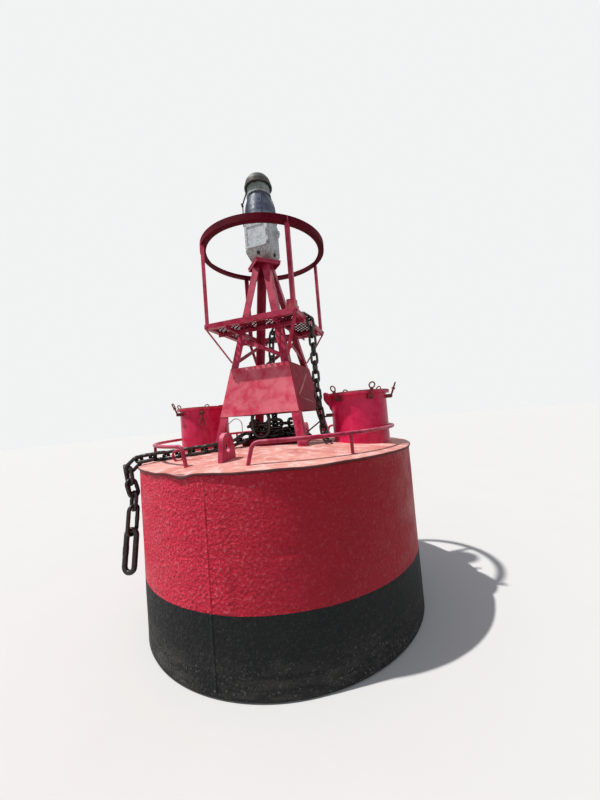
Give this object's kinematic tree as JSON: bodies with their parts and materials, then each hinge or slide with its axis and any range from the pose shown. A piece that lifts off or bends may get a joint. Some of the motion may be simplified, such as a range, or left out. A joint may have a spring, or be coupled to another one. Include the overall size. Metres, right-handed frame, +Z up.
{
  "type": "navigation buoy",
  "caption": "Flat steel drum buoy with lidded deck pockets, an angle-iron tower with blank number plates, a guarded platform, a gas lantern and loose mooring chain.",
  "frame": {"origin": "the middle of the drum's flat bottom, on the drum's axis", "axes": "+Z up the drum's axis; -Y is the front, towards a lifting eye; the pockets stand on +X and -X"},
  "size_m": [2.154, 2.1536, 3.63],
  "materials": {
    "hull_paint": "matte, pitted",
    "deck_paint": "matte, faded",
    "frame_paint": "matte, rusted",
    "faded_paint": "matte, faded",
    "plate_paint": "matte, worn",
    "rusty_steel": "rusted",
    "chain_iron": "rusted, dull",
    "lantern_metal": "weathered",
    "door_paint": "weathered",
    "hood_paint": "weathered",
    "lens_glass": "dusty"
  },
  "bodies": {
    "buoy": {"hull_shell": "hull_paint", "deck_plate": "deck_paint", "centre_coaming": "frame_paint", "tower_leg_front_left": "frame_paint", "tower_leg_front_right": "frame_paint", "tower_leg_back_right": "frame_paint", "tower_leg_back_left": "frame_paint", "leg_cleats": "frame_paint", "tower_top_plate": "frame_paint", "tower_braces": "frame_paint", "number_plate_front": "plate_paint", "number_plate_right": "plate_paint", "number_plate_back": "plate_paint", "number_plate_left": "plate_paint", "platform_rim": "frame_paint", "platform_grating": "faded_paint", "platform_struts": "frame_paint", "platform_block": "faded_paint", "guard_posts": "frame_paint", "guard_ring": "frame_paint", "pocket_right": "frame_paint", "pocket_left": "frame_paint", "swing_bolts_right": "rusty_steel", "swing_bolts_left": "rusty_steel", "gas_pipe": "rusty_steel", "lifting_eye_front": "frame_paint", "lifting_eye_back": "frame_paint", "ring_eye": "rusty_steel", "handrail_right": "frame_paint", "handrail_left": "frame_paint", "lantern_body": "lantern_metal", "lantern_lens": "lens_glass", "lens_guard": "hood_paint", "lantern_hood": "hood_paint", "hood_clasp": "hood_paint", "chain_over_side": "chain_iron", "chain_heap": "chain_iron", "chain_inside_tower": "chain_iron", "chain_outside_tower": "chain_iron"},
    "lid_right": {"lid_right": "faded_paint"},
    "lid_left": {"lid_left": "faded_paint"},
    "lantern_door": {"lantern_door": "door_paint"}
  },
  "joints": [
    {"name": "lid_right_hinge", "type": "hinge", "parent": "buoy", "child": "lid_right", "pos_m": [0.462, 0, 1.606], "axis": [0, -1, 0], "range_deg": [0, 84]},
    {"name": "lid_left_hinge", "type": "hinge", "parent": "buoy", "child": "lid_left", "pos_m": [-0.462, 0, 1.606], "axis": [0, 1, 0], "range_deg": [0, 110]},
    {"name": "lantern_door_hinge", "type": "hinge", "parent": "buoy", "child": "lantern_door", "pos_m": [0.107, -0.129, 3], "axis": [0, 0, 1], "range_deg": [0, 110]}
  ]
}
